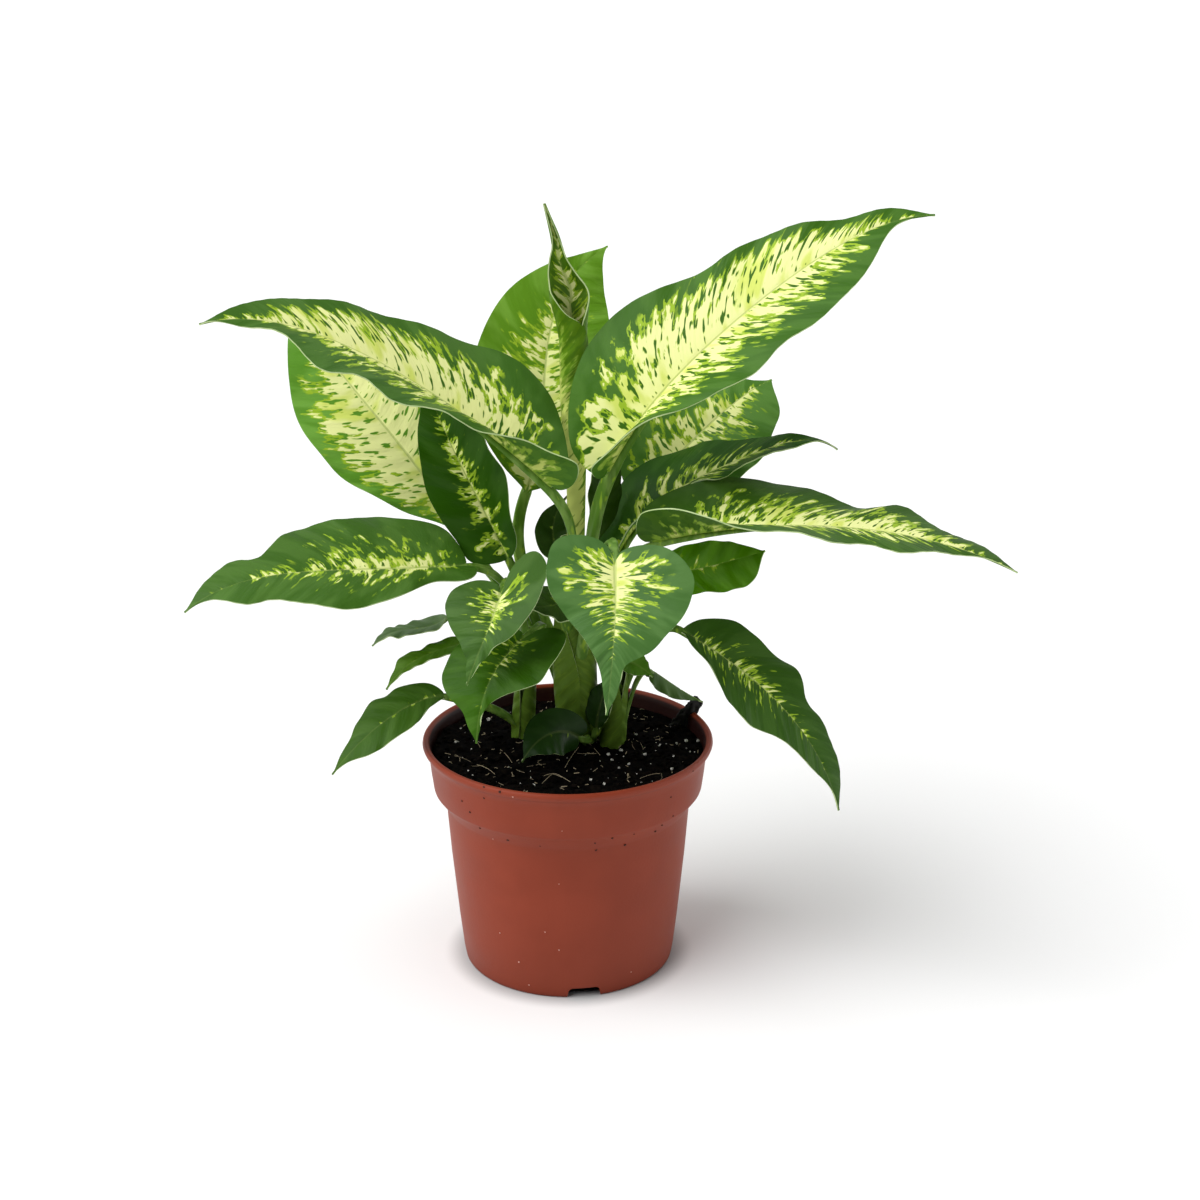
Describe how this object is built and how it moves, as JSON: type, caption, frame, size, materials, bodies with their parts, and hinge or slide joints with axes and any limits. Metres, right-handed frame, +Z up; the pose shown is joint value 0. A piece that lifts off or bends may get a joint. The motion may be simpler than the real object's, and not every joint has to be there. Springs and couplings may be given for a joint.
{
  "type": "potted dieffenbachia",
  "caption": "Young variegated dieffenbachia with cream-blotched leaves on slender petioles, in a round tapered plastic nursery pot filled with dark peat.",
  "frame": {"origin": "middle of the pot's flat underside, on the surface it stands on", "axes": "+Z up out of the pot, -Y towards the viewer of the picture, +X to the viewer's right"},
  "size_m": [0.3226, 0.1306, 0.3171],
  "materials": {
    "pot": "thin moulded brick-red plastic, matt with a faint sheen",
    "soil": "moist dark peat, rough and matt, with white perlite grains",
    "cane": "smooth green living stem, satin",
    "pale_leaf": "cream and lime blotches in a dark green margin, satin wax",
    "green_leaf": "dark green with a lighter streak along the midrib, satin wax"
  },
  "bodies": {
    "root": {"pot": "pot", "soil": "soil", "cane_main": "cane", "cane_left": "cane", "cane_right": "cane", "leaf_upper_left": "pale_leaf", "leaf_behind_upper_left": "pale_leaf", "leaf_dark_left": "green_leaf", "leaf_upright_back": "pale_leaf", "leaf_spear": "pale_leaf", "leaf_upper_right": "pale_leaf", "leaf_behind_upper_right": "pale_leaf", "leaf_right": "green_leaf", "leaf_long_right": "pale_leaf", "leaf_small_right": "green_leaf", "leaf_front_heart": "pale_leaf", "leaf_left": "green_leaf", "leaf_small_heart": "green_leaf", "leaf_low_front": "green_leaf", "leaf_lower_left": "green_leaf", "leaf_thin_left": "green_leaf", "leaf_edge_left": "green_leaf", "leaf_lower_right": "green_leaf", "leaf_at_soil": "green_leaf", "leaf_drooping_right": "green_leaf", "leaf_tiny_right": "green_leaf", "leaf_bud_right": "green_leaf", "leaf_inner_left": "green_leaf", "leaf_inner_right": "green_leaf", "leaf_inner_front": "green_leaf"}
  },
  "joints": []
}
